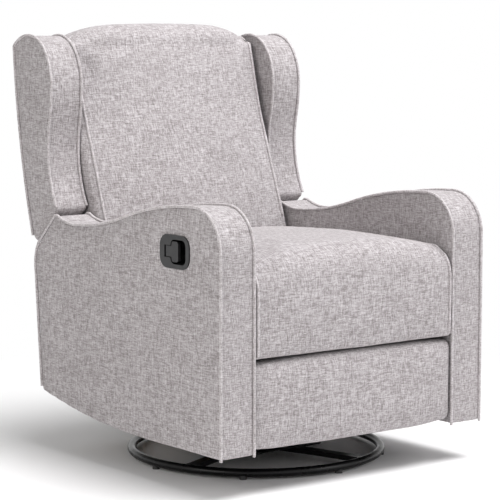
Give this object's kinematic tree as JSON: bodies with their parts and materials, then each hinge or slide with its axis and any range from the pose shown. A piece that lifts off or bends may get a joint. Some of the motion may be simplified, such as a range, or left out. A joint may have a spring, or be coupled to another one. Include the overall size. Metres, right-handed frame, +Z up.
{
  "type": "swivel glider recliner",
  "caption": "Upholstered wingback armchair on a round swivel base that turns, glides fore and aft, and reclines with a fold-out footrest released by a side lever.",
  "frame": {"origin": "swivel axis at floor level, on the plane the glides stand on", "axes": "+Z up, the sitter faces -Y, +X to the sitter's left"},
  "size_m": [0.7735, 0.8756, 1.0392],
  "materials": {
    "upholstery_fabric": "heathered linen-look weave",
    "hardwood": "sawn, unfinished",
    "black_steel": "black powder coat",
    "mechanism_steel": "zinc plated, dull",
    "bearing_steel": "ground and polished",
    "black_plastic": "moulded, fine grain",
    "glide_plastic": "moulded",
    "spring_steel": "drawn wire",
    "webbing": "woven strap"
  },
  "bodies": {
    "base": {"base_ring": "black_steel", "base_crossbar_long": "black_steel", "base_crossbar_halves": "black_steel", "floor_glides": "glide_plastic", "bearing_lower_plate": "black_steel", "bearing_balls": "bearing_steel", "swivel_bolt": "mechanism_steel"},
    "swivel_frame": {"bearing_upper_plate": "black_steel", "glider_cross_tubes": "black_steel", "glider_bracket_left": "black_steel", "glider_bracket_right": "black_steel", "glider_top_pins": "mechanism_steel"},
    "front_glide_links": {"front_glide_links": "mechanism_steel"},
    "rear_glide_links": {"rear_glide_links": "mechanism_steel"},
    "chair": {"mechanism_rail_left": "mechanism_steel", "mechanism_rail_right": "mechanism_steel", "glider_lower_pins": "mechanism_steel", "linkage_plate_left": "mechanism_steel", "linkage_plate_right": "mechanism_steel", "linkage_bolts": "mechanism_steel", "front_stretcher": "hardwood", "rear_stretcher": "hardwood", "arm_left": "upholstery_fabric", "arm_right": "upholstery_fabric", "arm_frame_left": "hardwood", "arm_frame_right": "hardwood", "handle_bezel": "black_plastic", "seat_rail_left": "hardwood", "seat_rail_right": "hardwood", "seat_front_rail": "hardwood", "seat_rear_rail": "hardwood", "seat_springs": "spring_steel", "seat_cushion": "upholstery_fabric", "lower_back_panel": "upholstery_fabric", "back_hinge_bolts": "mechanism_steel"},
    "footrest_main_links": {"footrest_main_links": "mechanism_steel", "main_link_rivets": "mechanism_steel"},
    "footrest_cross_links": {"footrest_cross_links": "mechanism_steel", "cross_link_rivets": "mechanism_steel"},
    "footrest_panel_links": {"footrest_panel_links": "mechanism_steel", "panel_link_rivets": "mechanism_steel"},
    "footrest_tie_links": {"footrest_tie_links": "mechanism_steel"},
    "footrest": {"footrest_board": "hardwood", "footrest_pad": "upholstery_fabric", "footrest_brackets": "mechanism_steel"},
    "backrest": {"back_stile_left": "hardwood", "back_stile_right": "hardwood", "back_rail_bottom": "hardwood", "back_rail_top": "hardwood", "back_webbing": "webbing", "back_cushion": "upholstery_fabric", "outside_back": "upholstery_fabric", "wing_left": "upholstery_fabric", "wing_right": "upholstery_fabric", "back_bracket_left": "mechanism_steel", "back_bracket_right": "mechanism_steel"},
    "release_lever": {"release_lever": "black_plastic"}
  },
  "joints": [
    {"name": "swivel", "type": "hinge", "parent": "base", "child": "swivel_frame", "pos_m": [0, 0, 0], "axis": [0, 0, 1], "continuous": true},
    {"name": "glide", "type": "hinge", "parent": "swivel_frame", "child": "front_glide_links", "pos_m": [0, -0.092, 0.212], "axis": [1, 0, 0], "range_deg": [-25, 25]},
    {"name": "glide_rear", "type": "hinge", "parent": "swivel_frame", "child": "rear_glide_links", "pos_m": [0, 0.092, 0.212], "axis": [1, 0, 0], "range_deg": [-26, 26]},
    {"name": "glide_level", "type": "hinge", "parent": "front_glide_links", "child": "chair", "pos_m": [0, -0.092, 0.112], "axis": [1, 0, 0], "range_deg": [-26, 26]},
    {"name": "recline", "type": "hinge", "parent": "chair", "child": "backrest", "pos_m": [0, 0.235, 0.379], "axis": [-1, 0, 0], "range_deg": [0, 35]},
    {"name": "footrest_lift", "type": "hinge", "parent": "chair", "child": "footrest_main_links", "pos_m": [0, -0.208, 0.121], "axis": [1, 0, 0], "range_deg": [-1, 30.7]},
    {"name": "footrest", "type": "hinge", "parent": "footrest_main_links", "child": "footrest_cross_links", "pos_m": [0, -0.23758, 0.22695], "axis": [-1, 0, 0], "range_deg": [0, 132.9]},
    {"name": "footrest_spread", "type": "hinge", "parent": "footrest_cross_links", "child": "footrest_panel_links", "pos_m": [0, -0.24276, 0.11707], "axis": [1, 0, 0], "range_deg": [-1, 133.9]},
    {"name": "footrest_tie", "type": "hinge", "parent": "footrest_panel_links", "child": "footrest_tie_links", "pos_m": [0, -0.27234, 0.22302], "axis": [-1, 0, 0], "range_deg": [-1, 133.9]},
    {"name": "footrest_tilt", "type": "hinge", "parent": "footrest_panel_links", "child": "footrest", "pos_m": [0, -0.30433, 0.28607], "axis": [-1, 0, 0], "range_deg": [-1, 120.7]},
    {"name": "release", "type": "hinge", "parent": "chair", "child": "release_lever", "pos_m": [-0.3835, -0.176, 0.5355], "axis": [0, 0, -1], "range_deg": [0, 25], "stiffness_Nm_per_rad": 0.8}
  ],
  "couplings": [
    {"joint": "glide_rear", "follows": "glide", "ratio": 1},
    {"joint": "glide_level", "follows": "glide", "ratio": -1},
    {"joint": "footrest_lift", "follows": "footrest", "ratio": 0.22348},
    {"joint": "footrest_spread", "follows": "footrest", "ratio": 1},
    {"joint": "footrest_tie", "follows": "footrest", "ratio": 1},
    {"joint": "footrest_tilt", "follows": "footrest", "ratio": 0.90068}
  ]
}
